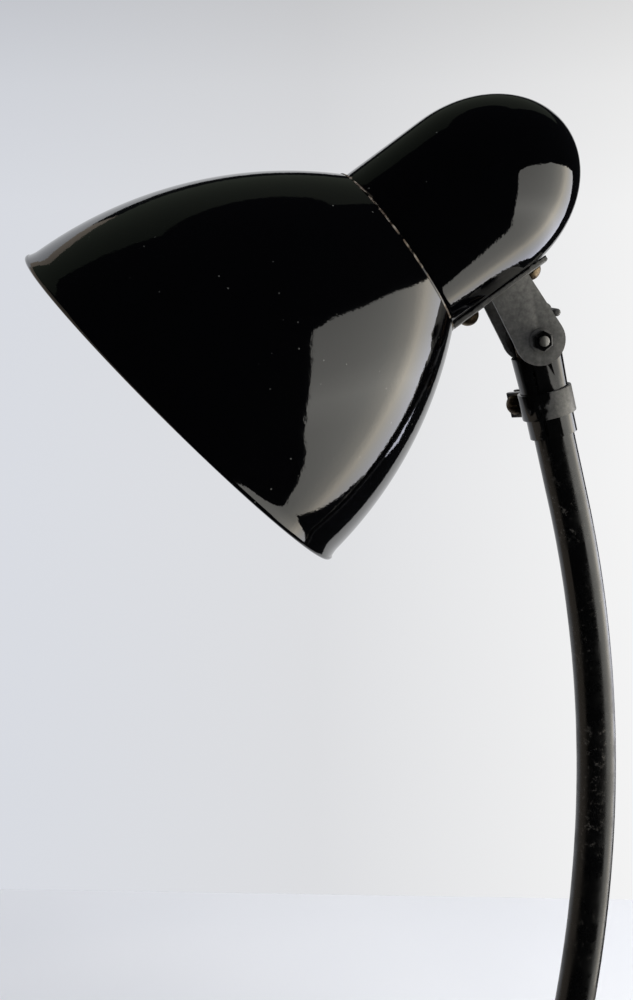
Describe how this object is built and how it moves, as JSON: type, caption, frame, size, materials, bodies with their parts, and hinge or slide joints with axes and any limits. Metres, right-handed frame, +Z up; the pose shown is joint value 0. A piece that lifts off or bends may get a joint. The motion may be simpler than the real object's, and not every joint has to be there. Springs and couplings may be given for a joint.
{
  "type": "desk lamp",
  "caption": "Black enamelled desk lamp: bell shade and domed lampholder cover on a bolted tilting knuckle, bow-shaped tube arm and round weighted base.",
  "frame": {"origin": "centre of the round base on the face it stands on", "axes": "+Z up; the arm's bow lies in the XZ plane, its foot towards +X and its top leaning towards -X, so the shade points towards -X"},
  "size_m": [0.251, 0.2212, 0.4438],
  "materials": {
    "black_enamel": "glossy vitreous enamel, white inside the shade",
    "base_lacquer": "gloss black stove enamel over cast iron",
    "felt": "dark green wool felt",
    "zinc_steel": "dulled bright steel",
    "bakelite": "dark brown moulded bakelite",
    "porcelain": "glazed porcelain",
    "brass": "plain spun brass",
    "tube_lacquer": "black lacquer with small chips",
    "braided_flex": "brown cotton braid over rubber",
    "worn_iron": "black lacquer worn to dull grey steel",
    "tarnished_brass": "tarnished brass, brown in the slots",
    "rubber": "matt black rubber",
    "glass": "clear blown glass"
  },
  "bodies": {
    "stand": {"base_casting": "base_lacquer", "base_felt": "felt", "base_plate": "zinc_steel", "plate_screws": "zinc_steel", "arm_ferrule": "base_lacquer", "arm_washer": "zinc_steel", "arm_nut": "zinc_steel", "cord_bush": "bakelite", "switch_body": "bakelite", "switch_ring": "zinc_steel", "terminal_block": "porcelain", "terminal_screws": "brass", "arm_tube": "tube_lacquer", "arm_flex": "braided_flex"},
    "switch": {"switch_knob": "bakelite"},
    "knuckle": {"knuckle_sleeve": "worn_iron", "clamp_band": "worn_iron", "clamp_screw": "tarnished_brass", "clamp_nut": "zinc_steel", "friction_washers": "zinc_steel", "pivot_spacer": "zinc_steel", "joint_flex": "braided_flex"},
    "head": {"pivot_bolt": "zinc_steel", "pivot_nut": "worn_iron", "pivot_washers": "worn_iron", "stop_pin": "worn_iron", "saddle_bracket": "worn_iron", "saddle_screws": "tarnished_brass", "saddle_nuts": "zinc_steel", "flex_grommet": "rubber", "lampholder_cover": "black_enamel", "lampholder_bracket": "zinc_steel", "shade": "black_enamel", "lampholder_shell": "bakelite", "lampholder_core": "porcelain", "lampholder_thread": "brass", "centre_contact": "brass", "holder_nut": "zinc_steel", "shade_ring": "bakelite", "holder_wires": "braided_flex", "bulb_globe": "glass", "bulb_cap": "brass", "bulb_tip": "zinc_steel", "bulb_filament": "zinc_steel"}
  },
  "joints": [
    {"name": "head_swivel", "type": "hinge", "parent": "stand", "child": "knuckle", "pos_m": [0.02825, 0, 0.35275], "axis": [-0.2823, 0, 0.9593], "range_deg": [-170, 170]},
    {"name": "head_tilt", "type": "hinge", "parent": "knuckle", "child": "head", "pos_m": [0.02825, 0, 0.35275], "axis": [-0.3856, -0.9157, -0.1135], "range_deg": [-60, 40], "deforming": ["joint_flex"]},
    {"name": "switch_turn", "type": "hinge", "parent": "stand", "child": "switch", "pos_m": [-0.046, 0, 0.03], "axis": [0, 0, 1], "range_deg": [0, 90]}
  ]
}
